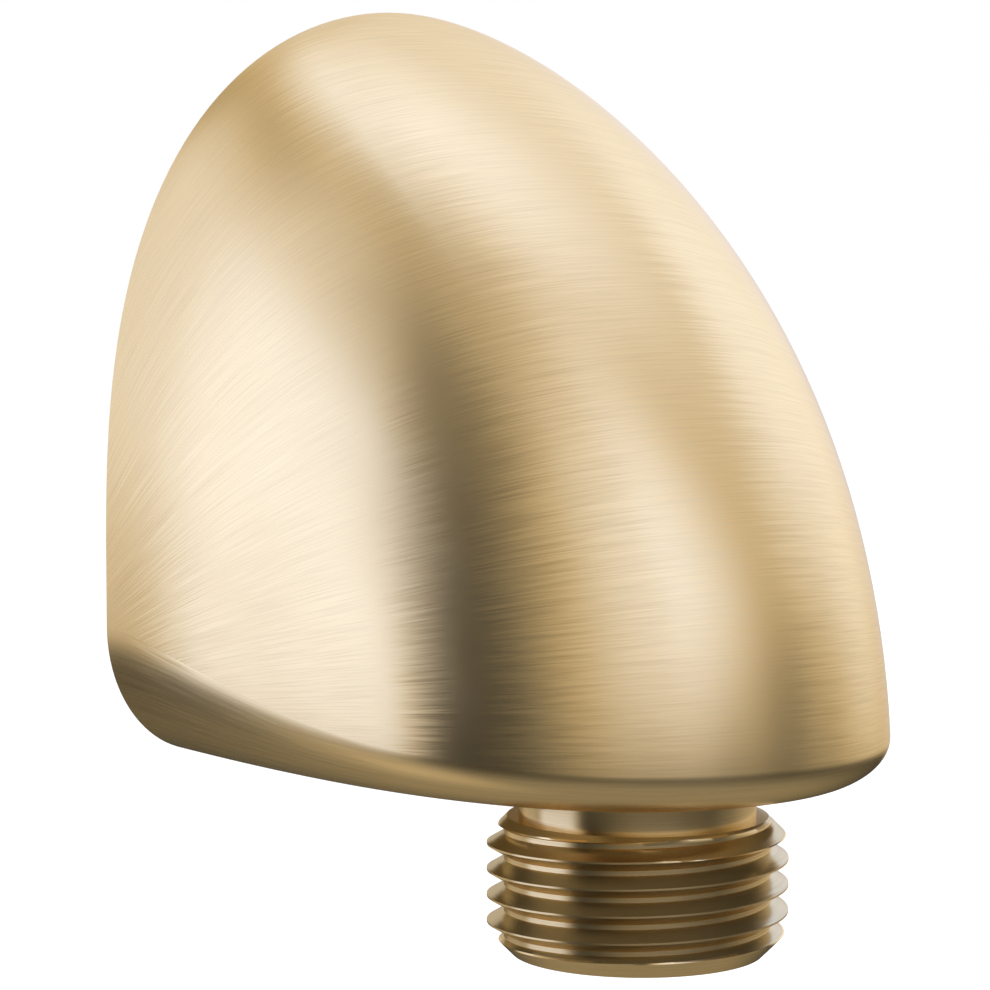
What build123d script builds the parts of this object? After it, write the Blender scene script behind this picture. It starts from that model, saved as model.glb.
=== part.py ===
"""Wall outlet elbow: one brass casting that leads water from a pipe in the wall to a hose thread below.

The wall is the plane Y = 0 with the room at -Y, +Z is up, and the origin is the middle of the inlet's
mouth. Sizes are in millimetres.
"""

import os
from bisect import bisect_left
from math import dist, sqrt

from build123d import *

# Body: an arch on the wall that comes forward to a round nose over the outlet
width = 50.8  # across the wall face
height = 55.0  # from the level underside to the top of the arch
projection = 46.9  # from the wall to the front of the nose
side_handle = 0.6  # how far the sides run square to the wall, as a share of the depth
nose_handle = 0.65  # how far the nose runs level across, as a share of the half width
arch_start = 13.5  # height above the underside where the sides begin to close in
arch_power = 2.75  # squareness of the arch's shoulders
nose_power = 0.89  # fullness of the nose seen from the side
wall_edge_rise = 9.9  # where the rounded lower edge starts above the underside, at the wall
wall_edge_inset = 8.3  # how far it then stands in at the underside
side_edge_rise = 4.0  # the same along the sides
side_edge_inset = 9.6
nose_edge_rise = 4.4  # and round the nose
nose_edge_inset = 4.2
top_land = 0.05  # height left off the very top, where the arch closes to a point

# Back: a recess that leaves a rim on the wall and a boss round the inlet
rim = 3.0
boss_radius = 13.0
boss_foot = 2.0  # chamfer where the boss stands on the recess's floor
foot_clearance = 0.85  # between the boss's foot and the recess's top, which sets how deep the recess goes
inlet_height = 27.5  # of the inlet's axis above the underside
inlet_radius = 9.3  # bored for a 1/2-14 pipe thread
inlet_depth = 14.0

# Outlet: a 1/2-14 pipe thread on a nipple with a turned relief under the body
outlet_from_wall = 30.4
outlet_length = 11.9  # from the underside to the end of the nipple
thread_radius = 10.4775
end_chamfer = 1.7
start_chamfer = 1.4
neck_radius = 8.25
neck_length = 2.35

# Waterway: a round passage from the inlet, bent down to the outlet
waterway_radius = 6.5
waterway_bend = 15.0  # length of the bend along each leg

overrun = 2.0  # how far cutting shapes run past the face that they cut
section_count = 24  # level sections in a skin
profile_steps = 2000  # steps that measure how the sections change

underside = -inlet_height


def rounding(rise, edge_inset, up):
    """How far an elliptical lower edge stands in at a height above the skin's underside."""
    share = max(1 - up / rise, 0)
    return edge_inset * (1 - sqrt(1 - share**2))


def plan_sizes(level, inset):
    """Half width at the wall, half width along the sides and depth at a level above the underside."""
    up = level - inset
    closing = max(level - arch_start, 0) / (height - inset - arch_start)
    half = (width / 2 - inset) * sqrt(1 - closing**arch_power)
    depth = (projection - inset) * (1 - (up / (height - 2 * inset)) ** 2) ** nose_power
    wall = half - rounding(wall_edge_rise - inset, wall_edge_inset - inset, up)
    side = half - rounding(side_edge_rise - inset, side_edge_inset - inset, up)
    return wall, side, depth - rounding(nose_edge_rise - inset, nose_edge_inset - inset, up)


def level_section(level, inset):
    """Plan outline: two curved sides that meet at the nose, run on square past the wall."""
    wall, side, depth = plan_sizes(level, inset)
    side_y, nose_x = -side_handle * depth, nose_handle * side
    with BuildSketch(Plane.XY.offset(underside + level)) as section:
        with BuildLine():
            Line((wall, overrun), (wall, 0))
            Bezier((wall, 0), (side, side_y), (nose_x, -depth), (0, -depth))
            Bezier((0, -depth), (-nose_x, -depth), (-side, side_y), (-wall, 0))
            Polyline((-wall, 0), (-wall, overrun), (wall, overrun))
        make_face()
    return section.sketch


def skin(inset):
    """Sections of the skin that lies this far in, at even steps of the way that their sizes change."""
    tall = height - 2 * inset - top_land
    levels = [inset + tall * step / profile_steps for step in range(profile_steps + 1)]
    corners = [(*plan_sizes(level, inset), level) for level in levels]
    run = [0]
    for step in range(profile_steps):
        run.append(run[-1] + dist(corners[step], corners[step + 1]))
    marks = [run[-1] * i / (section_count - 1) for i in range(section_count)]
    steps = [min(bisect_left(run, mark), profile_steps) for mark in marks]
    return [level_section(levels[step], inset) for step in steps]


body_sections = skin(0)
recess_sections = skin(rim)
recess_depth = plan_sizes(inlet_height + boss_radius + boss_foot + foot_clearance, rim)[2]

with BuildPart() as recess:
    loft(recess_sections)
    split(bisect_by=Plane.XZ.offset(recess_depth), keep=Keep.BOTTOM)
    with BuildSketch(Plane.XZ.offset(-2 * overrun)):
        Circle(boss_radius)
    extrude(amount=recess_depth + 4 * overrun, mode=Mode.SUBTRACT)
    floor = recess.faces().filter_by(GeomType.PLANE).sort_by(Axis.Y)[0]
    chamfer(floor.edges().filter_by(GeomType.CIRCLE), boss_foot)

with BuildPart() as elbow_body:
    loft(body_sections)
    split(bisect_by=Plane.XZ, keep=Keep.TOP)
    add(recess.part, mode=Mode.SUBTRACT)

    # Outlet nipple, turned about its own axis
    with BuildSketch(Plane.XZ.offset(outlet_from_wall)):
        with BuildLine():
            Polyline(
                (0, underside + nose_edge_rise),
                (neck_radius, underside + nose_edge_rise),
                (neck_radius, underside - neck_length),
                (thread_radius - start_chamfer, underside - neck_length),
                (thread_radius, underside - neck_length - start_chamfer),
                (thread_radius, underside - outlet_length + end_chamfer),
                (thread_radius - end_chamfer, underside - outlet_length),
                (0, underside - outlet_length),
                close=True,
            )
        make_face()
    revolve(axis=Axis((0, -outlet_from_wall, 0), (0, 0, 1)))

    # Inlet bored from the wall side
    with Locations(-Plane.XZ):
        Hole(inlet_radius, inlet_depth)

    # Waterway from the inlet's floor, round the bend and out through the nipple
    with BuildLine(Plane.YZ) as passage:
        run = Line((overrun - inlet_depth, 0), (waterway_bend - outlet_from_wall, 0))
        bend = Bezier(run @ 1, (-outlet_from_wall, 0), (-outlet_from_wall, -waterway_bend))
        Line(bend @ 1, (-outlet_from_wall, underside - outlet_length - overrun))
    with BuildSketch(Plane(run @ 0, z_dir=run % 0)):
        Circle(waterway_radius)
    sweep(path=passage.line, mode=Mode.SUBTRACT)

elbow_body.part.label = "elbow_body"
os.makedirs("parts", exist_ok=True)
export_step(elbow_body.part, "parts/elbow_body.step")
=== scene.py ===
from math import atan2, cos, pi, radians, sin

import bmesh
import bpy
import numpy as np
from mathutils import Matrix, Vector


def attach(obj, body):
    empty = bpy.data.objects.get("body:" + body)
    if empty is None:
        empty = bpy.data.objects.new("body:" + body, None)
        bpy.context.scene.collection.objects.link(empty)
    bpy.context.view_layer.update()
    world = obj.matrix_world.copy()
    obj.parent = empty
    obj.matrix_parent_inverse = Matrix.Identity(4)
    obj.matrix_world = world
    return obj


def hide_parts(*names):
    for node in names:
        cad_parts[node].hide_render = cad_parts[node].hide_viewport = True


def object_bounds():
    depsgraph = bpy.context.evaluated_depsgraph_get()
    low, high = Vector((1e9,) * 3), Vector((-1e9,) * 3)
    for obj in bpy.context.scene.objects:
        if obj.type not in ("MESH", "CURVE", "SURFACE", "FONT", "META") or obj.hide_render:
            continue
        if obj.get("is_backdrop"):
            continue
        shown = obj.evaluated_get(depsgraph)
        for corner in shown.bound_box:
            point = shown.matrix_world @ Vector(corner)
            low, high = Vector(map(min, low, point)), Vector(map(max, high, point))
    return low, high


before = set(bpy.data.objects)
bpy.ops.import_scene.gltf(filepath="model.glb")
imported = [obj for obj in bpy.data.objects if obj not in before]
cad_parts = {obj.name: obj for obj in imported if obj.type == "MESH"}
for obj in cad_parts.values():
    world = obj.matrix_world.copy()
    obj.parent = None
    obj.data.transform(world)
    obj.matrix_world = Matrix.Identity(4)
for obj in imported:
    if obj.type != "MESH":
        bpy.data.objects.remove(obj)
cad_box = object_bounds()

# The wall is the plane Y = 0 with the room at -Y, and the origin is the middle of the inlet's mouth.
# Shapes are worked out in millimetres and scaled to metres when the mesh is made.
MM = 0.001

# Body: an arch on the wall that comes forward to a round nose over the outlet
width, height, projection = 50.8, 55.0, 46.9
side_handle, nose_handle = 0.6, 0.65  # how far the plan runs straight, from the wall and from the nose
arch_start, arch_power = 13.5, 2.75  # where the sides begin to close in, and how square the shoulders are
nose_power = 0.89  # fullness of the nose seen from the side
inlet_height = 27.5
underside = -inlet_height
wall_bevel = 0.2  # broken edge where the body meets the wall, which moves the skin off the wall
bevel_power, bevel_fade = 8, 2.0  # how soon that shift dies out, along the sides and under the top

# Rounded lower edge: the height of its crease, and how far it stands in at the underside
crease_height, crease_lift = 2.9, 6.7  # at the nose, and what is added at the wall
crease_reach, crease_power = 0.297, 1.6  # how far from the wall the lift dies out, and how abruptly
inset_middle, inset_swing = 6.0, 1.8  # halfway to the nose, and what the wall has more and the nose less
inset_reach = 0.95  # how far from the wall the inset goes on changing

# Back
rim, recess_depth = 3.0, 16.0
recess_levels = [0.0, -1, -2.5, -4.5, -7, -9.5, -12, -14, -recess_depth]
recess_rounding = 1.2  # extra height of the rounding in the recess's lower corners
boss_radius, boss_foot, boss_edge = 13.0, 2.0, 0.5
inlet_radius, inlet_depth, inlet_thread_end = 9.3, 14.0, 12.0
inlet_lead_in = 1.25  # how much wider the inlet is at its mouth

# Outlet
outlet_from_wall, outlet_end = 30.4, -39.4
neck_radius, neck_flare, neck_end = 8.25, 0.7, -29.85
shoulder_radius = 9.08  # of the flat step under the neck, where the thread's start chamfer begins
thread_radius, root_radius, pitch = 10.4775, 9.3, 1.8143
crest_flat, root_flat = 0.13, 0.33
first_crest = -31.33  # level of the first whole crest, on the camera's side
end_radius = 8.78  # of the end face, inside the thread's end chamfer
waterway_radius, waterway_bend, bore_break = 6.5, 15.0, 0.4

# Brush lines on the sides fan out from a level line behind the wall
fan_back, fan_height = 15.3, 2.35  # from the wall to that line, and from the underside up to it
fan_reach = 55.0  # distance from it at which the lines lie as far apart as the finish says

# Mesh: the outlines at the wall and at the underside have as many points each, and so has every ring
half_columns, edge_rows = 72, 24  # columns from the wall to the nose, and rows round the lower edge
side_rows = half_columns - edge_rows
base_points = 47  # along the underside at the wall
ring = 2 * half_columns + 1 + base_points
ring_start = 135  # in degrees, towards the underside's corner at the wall
ring_angle = np.radians(ring_start + 360 / ring * np.arange(ring + 1))
edge_turn = np.linspace(0, pi / 2, edge_rows + 1)[:, None]
side_climb = np.sin(np.linspace(0, pi / 2, side_rows + 1))[1:, None]
underside_rows, rim_rows, floor_rows = 6, 3, 6
bend_steps, flare_steps = 20, 8
thread_rows = (2, 6, 2, 6)  # on a crest, a flank, a root and a flank
lead_turns, outlet_turns, inlet_turns = 2, 9, 10  # turns that lie past the ends are pressed flat there
slice_steps, profile_steps = 400, 2000  # places that the recess's sections are read from
weld_decimals = 3  # points that agree to this many decimals of a millimetre are joined
sharp_angle = radians(32)  # edges that turn by more than this are shaded as edges

# Camera, at the photograph's viewing angle
view_turn, view_tilt = radians(34.63), radians(3.881)
camera_place = Vector((-129.88, -201.05, 6.909)) * MM
camera_lens, camera_sensor, camera_near = 113.19, 36.0, 0.01

# Studio, as the metal sees it, in degrees from the camera's side: round to its right, and up
soft_boxes = [
    # azimuth, elevation, half width, half height, soft edge across, soft edge up, level
    (-83.5, 1.5, 22.5, 48, 14, 60, 1.34),
    (-84, 62, 24, 12, 32, 24, 0.36),
    (-127, 17, 20, 31, 26, 36, 0.94),
    (13.5, 30, 38.5, 31, 60, 34, 0.84),
    (67, 45, 50, 28, 80, 26, 0.53),
    (74, 1, 20, 9, 20, 12, 0.13),
    (148, 38, 46, 46, 78, 48, 1.17),
    (-140, 65, 45, 20, 60, 30, 0.29),
    # dark gaps between the boxes and the roof, at the back
    (143, 47, 50, 5, 40, 14, -0.27),
    (165, 42, 10, 20, 20, 16, -0.22),
]
floor_glow = (-87, -35, 20, 30, 30, 40, 0.25)  # the floor under the box on the left
box_lean = 23  # how far the boxes lean to the right, at the top
room_level, roof_level, floor_level = 0.025, 0.42, 0.25
roof_edge, floor_edge, floor_fall = (52, 80), (-8.5, -15), (-5, -55)
tints = [
    # level of light, and its tint: middling light is the warmest
    (0.0, (0.95, 1.0, 1.01)),
    (0.42, (1.06, 1.0, 0.85)),
    (0.56, (1.05, 1.0, 0.9)),
    (0.9, (0.91, 1.0, 1.29)),
    (1.3, (0.82, 1.0, 1.6)),
]

# Stage, in metres
floor_size, floor_height = 8.0, -0.1
floor_colour, floor_roughness, floor_lift = (0.9, 0.9, 0.9), 0.9, 0.12
lamp_size, lamp_power = 0.6, 4.0
lamp_place, lamp_heading = (-0.15, -0.1, 0.8), (0.15, 0.05, -0.8)

# Finish lines: two layers of fine lines, and a soft change of tone
line_layers = [
    # scale along the lines, scale across them, detail, share of the whole
    (1.0, 1.0, 2.0, 0.75),
    (0.45, 0.3, 1.0, 0.25),
]
tone_scale, tone_detail = 0.12, 1.0
line_dark, line_light = 0.3, 0.62  # where a line has its dark and its light colour
line_middle = 0.5
grazing_tint = (1.0, 0.88, 0.66)
quarter_turn = 0.25  # turns the highlights to spread across the lines

patches = []


def patch(points, lines, finish):
    """Keeps a grid of points, the run of its finish lines (along, across) and its faces' finish."""
    points = np.asarray(points, float)
    faces = len(points) - 1, points.shape[1] - 1
    patches.append((points, np.asarray(lines, float), np.broadcast_to(finish, faces)))


def closed(loop):
    """Loop of points with its first point again at the end."""
    return np.concatenate([loop, loop[:1]])


def stack(*parts):
    """Points, or pairs, from their coordinates."""
    return np.stack(np.broadcast_arrays(*parts), -1)


def body_sizes(level, inset=0.0):
    """Half width and depth of a skin at heights above the underside."""
    closing = np.clip((level - arch_start) / (height - inset - arch_start), 0, 1)
    up = np.clip((level - inset) / (height - 2 * inset), 0, 1)
    half = (width / 2 - inset) * np.sqrt(1 - closing**arch_power)
    return half, (projection - inset) * (1 - up**2) ** nose_power


def plan(share, half, depth):
    """Place on a plan outline, from the wall (0) to the nose (1), and the way out from it."""
    t, s = share, 1 - share
    b0, b1, b2, b3 = s**3, 3 * t * s**2, 3 * t**2 * s, t**3
    x = half * (b0 + b1 + nose_handle * b2)
    y = -depth * (side_handle * b1 + b2 + b3)
    run_x = half * (2 * s * t * (nose_handle - 1) - t**2 * nose_handle)
    run_y = -depth * (s**2 * side_handle + 2 * s * t * (1 - side_handle))
    length = np.hypot(run_x, run_y) + 1e-12  # not 0 where the top closes to a point
    return x, y, -run_y / length, run_x / length


def edge_rise(share):
    """Height of the lower edge's crease above the underside, from the wall (0) to the nose (1)."""
    return crease_height + crease_lift * np.exp(-((share / crease_reach) ** crease_power))


def edge_inset(share):
    """How far the lower edge stands in at the underside, from the wall (0) to the nose (1)."""
    return inset_middle + inset_swing * np.cos(pi * np.minimum(share / inset_reach, 1))


def row_levels(crease, top):
    """Levels of a skin's rows, round the lower edge up to its crease and on to the top."""
    return np.concatenate([crease * (1 - np.cos(edge_turn)), crease + (top - crease) * side_climb])


def outer_skin():
    """Body's outside: the rounded lower edge, then the sides up to the top of the arch."""
    way = np.linspace(-1, 1, 2 * half_columns + 1)
    share = 1 - np.abs(way)
    rise, inset = edge_rise(share), edge_inset(share)
    level = row_levels(rise, height)
    inward = np.concatenate([inset * (1 - np.sin(edge_turn)), np.zeros((side_rows, 1)) * inset])
    half, depth = body_sizes(level)
    x, y, out_x, out_y = plan(share, half, depth)
    x = (x - inward * out_x) * np.sign(way)
    y = y - inward * out_y
    y -= wall_bevel * np.maximum((1 - share) ** bevel_power, np.exp(-depth / bevel_fade))
    points = stack(x, y, underside + level)
    points[:, half_columns, 0] = 0
    return points


def skin_lines(points):
    """Brush lines on the sides, in planes that fan out from a level line behind the wall."""
    back, up = fan_back - points[..., 1], points[..., 2] - (underside + fan_height)
    angle, away = np.arctan2(up, back), np.hypot(up, back)
    nose_angle, nose_away = angle[:, half_columns], away[:, half_columns]
    order = np.argsort(nose_angle)
    front = np.interp(angle, nose_angle[order], nose_away[order])
    x = points[..., 0]
    return stack(x + np.sign(x) * (front - away), fan_reach * angle)


def run_lines(points):
    """Lines that follow a grid's rows."""
    along = np.linalg.norm(np.diff(points, axis=1), axis=2).cumsum(1)
    along = np.concatenate([np.zeros((len(points), 1)), along], 1)
    across = np.linalg.norm(np.diff(points, axis=0), axis=2).mean(1).cumsum()
    across = np.concatenate([[0], across])
    return stack(along[len(points) // 2], across[:, None])


def straight_lines(points):
    """Lines that run straight across a level face, from side to side."""
    return points[..., :2]


def flat_ring(outer, inner, rows, finish, lines=run_lines):
    """Flat or conical band between two rings of points."""
    share = np.linspace(0, 1, rows + 1)[:, None, None]
    points = outer * (1 - share) + inner * share
    patch(points, lines(points), finish)


def outlet_ring(radius, z):
    """Ring about the outlet's axis, at a level."""
    return stack(radius * np.cos(ring_angle), radius * np.sin(ring_angle) - outlet_from_wall, z)


def inlet_ring(radius, y):
    """Ring about the inlet's axis, at a place in front of the wall."""
    return stack(radius * np.cos(ring_angle), y, -radius * np.sin(ring_angle))


def turned(make_ring, profile, finish):
    """Band turned about an axis, through (radius, place along the axis) pairs."""
    points = np.array([make_ring(radius, place) for radius, place in profile])
    patch(points, run_lines(points), finish)


def thread_profile():
    """Heights over the root and places along one pitch: crest, flank, root, flank."""
    flank = (pitch - crest_flat - root_flat) / 2
    marks = np.cumsum([0, crest_flat, flank, root_flat, flank])
    spans = zip(marks, marks[1:], thread_rows)
    place = np.concatenate([np.linspace(start, end, rows, endpoint=False) for start, end, rows in spans])
    return np.interp(place, marks, [1, 1, 0, 0, 1]), place


def helix(start, turns):
    """Grid of places along the axis, and of heights over the root, that winds round with the thread."""
    over, place = thread_profile()
    run = np.concatenate([place + pitch * turn for turn in range(turns)])
    rise = pitch * np.arange(ring + 1) / ring
    return start + rise[None, :] - run[:, None], np.tile(over, turns)[:, None]


def outlet_thread():
    """Outlet's thread, from the chamfer under the neck to the chamfer at its end."""
    near_turn = (atan2(-cos(view_turn), -sin(view_turn)) - ring_angle[0]) % (2 * pi)
    start = first_crest + crest_flat / 2 - pitch * near_turn / (2 * pi) + lead_turns * pitch
    z, over = helix(start, outlet_turns)
    z = np.clip(z, outlet_end, neck_end)
    full = root_radius + over * (thread_radius - root_radius)
    radius = np.minimum(full, np.minimum(shoulder_radius + neck_end - z, end_radius + z - outlet_end))
    whole = (radius == full)[:, :-1]
    flanks = (over[1:] != over[:-1]) & whole[1:] & whole[:-1]
    start_chamfer = ~whole[1:] & (z[1:, :-1] > neck_end - pitch)
    # Flanks and the start chamfer take the darker flank colour, which is painted shade
    finish = np.where(flanks | start_chamfer, "flank", "turned")
    patch(outlet_ring(radius, z), stack(ring_angle * root_radius, -z), finish)


def inlet_thread():
    """Inlet's thread, cut into the boss, with a lead-in at its mouth and a run-out before the floor."""
    y, over = helix(lead_turns * pitch, inlet_turns)
    y = np.clip(y, -inlet_thread_end, 0)
    radius = inlet_radius + (1 - over) * (thread_radius - root_radius)
    radius = np.minimum(radius, inlet_radius + y + inlet_thread_end)
    radius = np.maximum(radius, inlet_radius + inlet_lead_in + y)
    patch(inlet_ring(radius, y), stack(ring_angle * inlet_radius, -y), "turned")


def recess_slice(y):
    """Section of the recess in front of the wall: up the left side, over the top and down the right."""
    share = np.linspace(0, 1, slice_steps)
    rising = np.linspace(0, 1, profile_steps)
    deep = (projection - rim) * (1 - rising**2) ** nose_power
    top = rim + (height - 2 * rim) * np.interp(y, -deep, rising)
    level = rim + row_levels(edge_rise(0) - rim + recess_rounding, top - rim)[:, 0]
    side = []
    for half, depth, up in zip(*body_sizes(level, rim), level - rim):
        x, along, out_x, _ = plan(share, half, depth)
        at = np.interp(-y, -along, share)
        reach = max(1 - up / (edge_rise(at) - rim + recess_rounding), 0)
        inward = (edge_inset(at) - rim) * (1 - np.sqrt(1 - reach**2))
        side.append(np.interp(-y, -along, x) - inward * np.interp(-y, -along, out_x))
    side = np.array(side)
    side[-1] = 0
    base = np.linspace(side[0], -side[0], base_points + 2)[1:-1]
    across = np.concatenate([-side, side[-2::-1], base])
    up = np.concatenate([level, level[-2::-1], np.full(base_points, rim)])
    return closed(stack(across, y, underside + up))


def wall_loop(skin):
    """Body's outline at the wall: up the left side, over the top, down the right and back below."""
    left, right = skin[:-1, 0], skin[-2::-1, -1]
    base = np.linspace(right[-1], left[0], base_points + 2)[1:-1]
    return np.concatenate([left, skin[-1:, 0], right, base])


def drawn_in(loop, amount, y):
    """A wall outline drawn in by an amount and laid at a place in front of the wall."""
    run = np.roll(loop, -1, 0) - np.roll(loop, 1, 0)
    length = np.hypot(run[:, 0], run[:, 2])[:, None]
    inner = loop + amount * stack(run[:, 2], np.zeros(len(loop)), -run[:, 0]) / length
    inner[:, 1] = y
    inner[half_columns, 0] = 0
    return inner


def make_underside(skin):
    """Level face from the lower edge to the neck."""
    base = np.linspace(skin[0, -1], skin[0, 0], base_points + 2)[1:-1]
    edge = closed(np.concatenate([skin[0], base]))
    neck_top = outlet_ring(neck_radius + neck_flare, underside)
    flat_ring(edge, neck_top, underside_rows, "brushed", straight_lines)


def make_back(skin):
    """Broken wall edge, rim, recess, boss and inlet."""
    outline = wall_loop(skin)
    rim_outer = closed(drawn_in(outline, wall_bevel, 0.0))
    walls = np.array([recess_slice(y) for y in recess_levels])
    flat_ring(closed(outline), rim_outer, 1, "turned")
    flat_ring(rim_outer, walls[0], rim_rows, "turned")
    patch(walls, run_lines(walls), "cast")
    foot = (boss_radius + boss_foot, -recess_depth)
    foot_top = (boss_radius, boss_foot - recess_depth)
    boss_end = (boss_radius - boss_edge, 0)
    flat_ring(walls[-1], inlet_ring(*foot), floor_rows, "cast")
    turned(inlet_ring, [foot, foot_top], "cast")
    turned(inlet_ring, [foot_top, (boss_radius, -boss_edge)], "cast")
    turned(inlet_ring, [(boss_radius, -boss_edge), boss_end], "turned")
    turned(inlet_ring, [boss_end, (inlet_radius + inlet_lead_in, 0)], "turned")
    inlet_thread()
    inlet_corner = (inlet_radius, -inlet_depth)
    turned(inlet_ring, [(inlet_radius, -inlet_thread_end), inlet_corner], "cast")
    turned(inlet_ring, [inlet_corner, (waterway_radius + bore_break, -inlet_depth)], "cast")


def make_waterway():
    """Passage from the inlet's floor, round the bend and out through the nipple."""
    share = np.linspace(0, 1, bend_steps + 1)[:, None]
    corner = np.array([[-outlet_from_wall, 0.0]])
    start = corner + waterway_bend * np.array([[1, 0]])
    end = corner - waterway_bend * np.array([[0, 1]])
    curve = (1 - share) ** 2 * start + 2 * share * (1 - share) * corner + share**2 * end
    heading = (1 - share) * (corner - start) + share * (end - corner)
    slope = np.arctan2(-heading[:, 1], -heading[:, 0])
    mouth_radius = waterway_radius + bore_break
    places = [(-inlet_depth, 0.0, 0.0, mouth_radius)]
    places += [(-inlet_depth - bore_break, 0.0, 0.0, waterway_radius)]
    places += [(y, z, angle, waterway_radius) for (y, z), angle in zip(curve, slope)]
    places += [(-outlet_from_wall, outlet_end + bore_break, pi / 2, waterway_radius)]
    places += [(-outlet_from_wall, outlet_end, pi / 2, mouth_radius)]
    tube = []
    for y, z, angle, radius in places:
        round_x, round_w = radius * np.cos(ring_angle), radius * np.sin(ring_angle)
        tube.append(stack(round_x, y + sin(angle) * round_w, z - cos(angle) * round_w))
    tube = np.array(tube)
    patch(tube, run_lines(tube), "cast")


def make_nipple():
    """End face, thread, and the neck with a small flare under the body."""
    turned(outlet_ring, [(waterway_radius + bore_break, outlet_end), (end_radius, outlet_end)], "turned")
    outlet_thread()
    flare = []
    for angle in np.linspace(0, pi / 2, flare_steps + 1):
        out, down = neck_flare * (1 - sin(angle)), neck_flare * (1 - cos(angle))
        flare.append((neck_radius + out, underside - down))
    turned(outlet_ring, flare, "turned")
    turned(outlet_ring, [flare[-1], (neck_radius, neck_end)], "turned")
    # The step under the neck takes the darker flank colour, which is painted shade
    turned(outlet_ring, [(neck_radius, neck_end), (shoulder_radius, neck_end)], "flank")


def make_body():
    """All the faces of the elbow."""
    skin = outer_skin()
    sides, edge = skin[edge_rows:], skin[: edge_rows + 1]
    patch(sides, skin_lines(sides), "brushed")
    patch(edge, run_lines(edge), "brushed")
    make_underside(skin)
    make_back(skin)
    make_waterway()
    make_nipple()


def weld(name, finishes):
    """One mesh of all the patches, joined where their points meet."""
    points = np.concatenate([grid.reshape(-1, 3) for grid, _, _ in patches])
    places = np.round(points, weld_decimals)
    _, first, same = np.unique(places, axis=0, return_index=True, return_inverse=True)
    same = same.ravel()
    names = list(finishes)
    faces, uvs, slots, count = [], [], [], 0
    for grid, lines, finish in patches:
        rows, columns = grid.shape[:2]
        flat = lines.reshape(-1, 2)
        for i in range(rows - 1):
            for j in range(columns - 1):
                spot = i * columns + j
                kept = {}
                for corner in (spot, spot + 1, spot + columns + 1, spot + columns):
                    kept.setdefault(same[count + corner], corner)
                if len(kept) > 2:
                    faces.append(list(kept))
                    uvs += [flat[corner] for corner in kept.values()]
                    slots.append(names.index(finish[i, j]))
        count += rows * columns
    mesh = bpy.data.meshes.new(name)
    mesh.from_pydata(points[first] * MM, [], faces)
    mesh.polygons.foreach_set("material_index", slots)
    layer = mesh.uv_layers.new(name="finish_lines")
    layer.uv.foreach_set("vector", np.array(uvs).ravel())
    for finish in names:
        mesh.materials.append(finishes[finish])
    shape = bmesh.new()
    shape.from_mesh(mesh)
    bmesh.ops.recalc_face_normals(shape, faces=shape.faces)
    shape.to_mesh(mesh)
    shape.free()
    mesh.shade_smooth()
    mesh.set_sharp_from_angle(angle=sharp_angle)
    piece = bpy.data.objects.new(name, mesh)
    bpy.context.scene.collection.objects.link(piece)
    return piece


def new_group(name, inputs, outputs):
    """Shader node group with named sockets."""
    group = bpy.data.node_groups.new(name, "ShaderNodeTree")
    for side, sockets in (("INPUT", inputs), ("OUTPUT", outputs)):
        for label, kind in sockets:
            group.interface.new_socket(label, in_out=side, socket_type=kind)
    return group, group.nodes.new("NodeGroupInput"), group.nodes.new("NodeGroupOutput")


def add(tree, kind, **settings):
    """New node, with its settings."""
    node = tree.nodes.new(kind)
    for label, value in settings.items():
        setattr(node, label, value)
    return node


def work_out(tree, operation, *values):
    """Result of a sum with numbers or other nodes' results."""
    node = add(tree, "ShaderNodeMath", operation=operation)
    for socket, value in zip(node.inputs, values):
        if isinstance(value, (int, float)):
            socket.default_value = value
        else:
            tree.links.new(value, socket)
    return node.outputs[0]


def noise_over(tree, place, scale, detail):
    """Flat noise over a place on the finish."""
    noise = add(tree, "ShaderNodeTexNoise", noise_dimensions="2D")
    noise.inputs["Scale"].default_value = scale
    noise.inputs["Detail"].default_value = detail
    tree.links.new(place, noise.inputs["Vector"])
    return noise.outputs["Fac"]


def finish_lines_group():
    """Fine lines that run along the finish, over a soft change of tone."""
    group, given, out = new_group(
        "finish_lines",
        [("Vector", "NodeSocketVector"), ("Along", "NodeSocketFloat"), ("Across", "NodeSocketFloat")],
        [("Lines", "NodeSocketFloat"), ("Tone", "NodeSocketFloat")],
    )
    split = add(group, "ShaderNodeSeparateXYZ")
    group.links.new(given.outputs["Vector"], split.inputs[0])
    u = work_out(group, "MULTIPLY", split.outputs[0], given.outputs["Along"])
    v = work_out(group, "MULTIPLY", split.outputs[1], given.outputs["Across"])
    layers = []
    for along, across, detail, share in line_layers:
        place = add(group, "ShaderNodeCombineXYZ")
        group.links.new(work_out(group, "MULTIPLY", u, along), place.inputs[0])
        group.links.new(work_out(group, "MULTIPLY", v, across), place.inputs[1])
        noise = noise_over(group, place.outputs[0], 1.0, detail)
        layers.append(work_out(group, "MULTIPLY", noise, share))
    group.links.new(work_out(group, "ADD", *layers), out.inputs["Lines"])
    tone = noise_over(group, given.outputs["Vector"], tone_scale, tone_detail)
    group.links.new(tone, out.inputs["Tone"])
    return group


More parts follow.
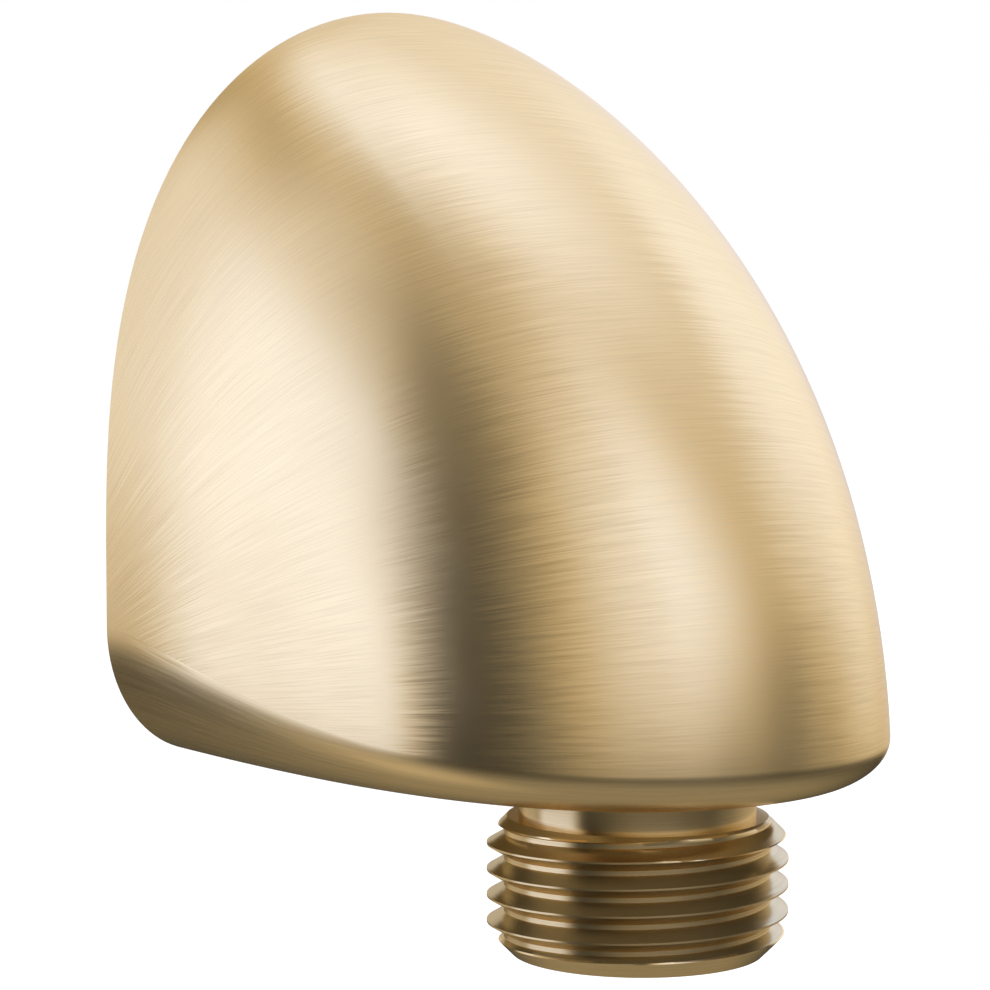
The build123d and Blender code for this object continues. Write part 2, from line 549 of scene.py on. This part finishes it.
def brass(name, group, along, across, roughness, spread, light, dark, stretch, tilt):
    """Brass with a finish of fine lines, each tipped a little along its run."""
    material = bpy.data.materials.new(name)
    material.use_nodes = True
    tree = material.node_tree
    shader = tree.nodes["Principled BSDF"]
    shader.inputs["Metallic"].default_value = 1.0
    shader.inputs["Specular Tint"].default_value = (*grazing_tint, 1)
    shader.inputs["Anisotropic"].default_value = stretch
    shader.inputs["Anisotropic Rotation"].default_value = quarter_turn
    where = add(tree, "ShaderNodeUVMap", uv_map="finish_lines")
    lines = add(tree, "ShaderNodeGroup", node_tree=group)
    lines.inputs["Along"].default_value = along
    lines.inputs["Across"].default_value = across
    tree.links.new(where.outputs[0], lines.inputs["Vector"])
    tangent = add(tree, "ShaderNodeTangent", direction_type="UV_MAP", uv_map="finish_lines")
    tree.links.new(tangent.outputs[0], shader.inputs["Tangent"])

    # Colour and roughness
    brightness = add(tree, "ShaderNodeMapRange")
    brightness.inputs["From Min"].default_value = line_dark
    brightness.inputs["From Max"].default_value = line_light
    tree.links.new(lines.outputs["Lines"], brightness.inputs["Value"])
    colour = add(tree, "ShaderNodeMix", data_type="RGBA")
    colour.inputs["A"].default_value = (*dark, 1)
    colour.inputs["B"].default_value = (*light, 1)
    tree.links.new(brightness.outputs[0], colour.inputs["Factor"])
    tree.links.new(colour.outputs["Result"], shader.inputs["Base Color"])
    rough = add(tree, "ShaderNodeMapRange")
    rough.inputs["To Min"].default_value = roughness - spread
    rough.inputs["To Max"].default_value = roughness + spread
    tree.links.new(lines.outputs["Tone"], rough.inputs["Value"])
    tree.links.new(rough.outputs[0], shader.inputs["Roughness"])

    # Tip of the lines
    tip = work_out(tree, "SUBTRACT", lines.outputs["Lines"], line_middle)
    tip = work_out(tree, "MULTIPLY", tip, tilt)
    facing = add(tree, "ShaderNodeNewGeometry")
    tipped = add(tree, "ShaderNodeVectorMath", operation="MULTIPLY_ADD")
    tree.links.new(tip, tipped.inputs[0])
    tree.links.new(tangent.outputs[0], tipped.inputs[1])
    tree.links.new(facing.outputs["Normal"], tipped.inputs[2])
    unit = add(tree, "ShaderNodeVectorMath", operation="NORMALIZE")
    tree.links.new(tipped.outputs[0], unit.inputs[0])
    tree.links.new(unit.outputs[0], shader.inputs["Normal"])
    return material


def soft_step(tree, value, start, end):
    """Soft step over an angle, from 0 at the start to 1 at the end, in degrees."""
    step = add(tree, "ShaderNodeMapRange", interpolation_type="SMOOTHSTEP")
    step.inputs["From Min"].default_value = radians(start)
    step.inputs["From Max"].default_value = radians(end)
    tree.links.new(value, step.inputs["Value"])
    return step.outputs[0]


def with_box(tree, light, turn, rise, box):
    """Light with a soft-edged box added to it."""
    azimuth, elevation, half_width, half_height, soft_width, soft_height, level = box
    aside = work_out(tree, "WRAP", work_out(tree, "SUBTRACT", turn, radians(azimuth)), pi, -pi)
    above = work_out(tree, "SUBTRACT", rise, radians(elevation))
    shares = []
    for off, half, soft in ((aside, half_width, soft_width), (above, half_height, soft_height)):
        off = work_out(tree, "ABSOLUTE", off)
        shares.append(soft_step(tree, off, half + soft / 2, half - soft / 2))
    return work_out(tree, "MULTIPLY_ADD", work_out(tree, "MULTIPLY", *shares), level, light)


def studio_light(tree):
    """Level of the light that the metal sees in each direction."""
    place = add(tree, "ShaderNodeTexCoord")
    toward = add(tree, "ShaderNodeVectorMath", operation="DOT_PRODUCT")
    toward.inputs[1].default_value = (-sin(view_turn), -cos(view_turn), 0)
    right = add(tree, "ShaderNodeVectorMath", operation="DOT_PRODUCT")
    right.inputs[1].default_value = (cos(view_turn), -sin(view_turn), 0)
    split = add(tree, "ShaderNodeSeparateXYZ")
    for node in (toward, right, split):
        tree.links.new(place.outputs["Generated"], node.inputs[0])
    up = split.outputs["Z"]
    turn = work_out(tree, "ARCTAN2", right.outputs["Value"], toward.outputs["Value"])
    leaning = work_out(tree, "SUBTRACT", turn, work_out(tree, "MULTIPLY", up, radians(box_lean)))
    rise = work_out(tree, "ARCSINE", up)
    light = work_out(tree, "MULTIPLY_ADD", soft_step(tree, rise, *roof_edge), roof_level, room_level)
    for box in soft_boxes:
        light = with_box(tree, light, leaning, rise, box)
    floor = work_out(tree, "MULTIPLY_ADD", soft_step(tree, rise, *floor_fall), floor_level, room_level)
    floor = with_box(tree, floor, turn, rise, floor_glow)
    change = work_out(tree, "SUBTRACT", floor, light)
    return work_out(tree, "MULTIPLY_ADD", soft_step(tree, rise, *floor_edge), change, light)


def set_world():
    """White background; the metal sees a dark studio with soft boxes all round."""
    world = bpy.data.worlds.new("studio")
    world.use_nodes = True
    world.cycles.sampling_method = "NONE"
    bpy.context.scene.world = world
    tree = world.node_tree
    tree.nodes.clear()
    light = studio_light(tree)
    tint = add(tree, "ShaderNodeValToRGB")
    brightest = tints[-1][0]
    tree.links.new(work_out(tree, "DIVIDE", light, brightest), tint.inputs[0])
    stops = tint.color_ramp.elements
    stops[0].color, stops[1].color = (*tints[0][1], 1), (*tints[-1][1], 1)
    for level, shown in tints[1:-1]:
        stops.new(level / brightest).color = (*shown, 1)
    colour = add(tree, "ShaderNodeVectorMath", operation="SCALE")
    tree.links.new(tint.outputs["Color"], colour.inputs[0])
    tree.links.new(light, colour.inputs["Scale"])
    paths = add(tree, "ShaderNodeLightPath")
    white = add(tree, "ShaderNodeMix", data_type="RGBA")
    white.inputs["A"].default_value = (1, 1, 1, 1)
    tree.links.new(paths.outputs["Is Glossy Ray"], white.inputs["Factor"])
    tree.links.new(colour.outputs["Vector"], white.inputs["B"])
    background = add(tree, "ShaderNodeBackground")
    tree.links.new(white.outputs["Result"], background.inputs["Color"])
    output = add(tree, "ShaderNodeOutputWorld")
    tree.links.new(background.outputs[0], output.inputs["Surface"])


def pale_floor():
    """Pale material, brought up to the background's white where it is seen, that keeps the shadow."""
    material = bpy.data.materials.new("pale_floor")
    material.use_nodes = True
    tree = material.node_tree
    shader = tree.nodes["Principled BSDF"]
    shader.inputs["Base Color"].default_value = (*floor_colour, 1)
    shader.inputs["Roughness"].default_value = floor_roughness
    paths = add(tree, "ShaderNodeLightPath")
    seen = work_out(tree, "ADD", paths.outputs["Is Camera Ray"], paths.outputs["Is Glossy Ray"])
    seen = work_out(tree, "ADD", seen, paths.outputs["Is Transmission Ray"])
    tree.links.new(work_out(tree, "MULTIPLY", seen, floor_lift), shader.inputs["Emission Strength"])
    shader.inputs["Emission Color"].default_value = (1, 1, 1, 1)
    return material


def set_stage():
    """Level floor under the part, and a soft lamp above that gives it its shadow."""
    half = floor_size / 2
    corners = [(-half, -half), (half, -half), (half, half), (-half, half)]
    mesh = bpy.data.meshes.new("floor")
    mesh.from_pydata([(x, y, floor_height) for x, y in corners], [], [(0, 1, 2, 3)])
    mesh.materials.append(pale_floor())
    floor = bpy.data.objects.new("floor", mesh)
    bpy.context.scene.collection.objects.link(floor)
    floor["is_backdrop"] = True
    floor.visible_glossy = False
    light = bpy.data.lights.new("top_soft_box", "AREA")
    light.shape, light.size, light.energy = "DISK", lamp_size, lamp_power
    lamp = bpy.data.objects.new("top_soft_box", light)
    lamp.location = lamp_place
    lamp.rotation_euler = Vector(lamp_heading).to_track_quat("-Z", "Y").to_euler()
    lamp.visible_glossy = False
    bpy.context.scene.collection.objects.link(lamp)


def set_camera():
    """Camera where the photograph was taken from."""
    view = bpy.data.cameras.new("camera")
    view.lens, view.sensor_width, view.clip_start = camera_lens, camera_sensor, camera_near
    camera = bpy.data.objects.new("camera", view)
    camera.location = camera_place
    level = cos(view_tilt)
    forward = Vector((sin(view_turn) * level, cos(view_turn) * level, -sin(view_tilt)))
    camera.rotation_euler = forward.to_track_quat("-Z", "Y").to_euler()
    bpy.context.scene.collection.objects.link(camera)
    bpy.context.scene.camera = camera


bpy.context.scene.view_settings.view_transform = "Standard"
set_camera()
set_world()
set_stage()

line_group = finish_lines_group()
finishes = {
    "brushed": brass(
        "brushed_brass", line_group, along=0.14, across=8.5, roughness=0.2, spread=0.02,
        light=(0.965, 0.697, 0.348), dark=(0.87, 0.628, 0.313), stretch=0.95, tilt=0.1,
    ),
    "turned": brass(
        "turned_brass", line_group, along=0.1, across=9.0, roughness=0.22, spread=0.02,
        light=(0.965, 0.697, 0.348), dark=(0.87, 0.628, 0.313), stretch=0.8, tilt=0.05,
    ),
    # The flank finish is the same brass with a darker colour: painted shade on the thread's flanks, its
    # start chamfer and the step under the neck
    "flank": brass(
        "shade_painted_brass", line_group, along=0.1, across=9.0, roughness=0.22, spread=0.02,
        light=(0.6, 0.49, 0.31), dark=(0.55, 0.45, 0.28), stretch=0.6, tilt=0.05,
    ),
    "cast": brass(
        "cast_brass", line_group, along=1.2, across=1.2, roughness=0.5, spread=0.08,
        light=(0.74, 0.59, 0.38), dark=(0.67, 0.53, 0.34), stretch=0.0, tilt=0.12,
    ),
}
make_body()
elbow = weld("elbow", finishes)
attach(elbow, "root")
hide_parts("elbow_body")

boxes = {"cad": cad_box, "visual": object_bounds()}
{name: [list(corner) for corner in box] for name, box in boxes.items()}
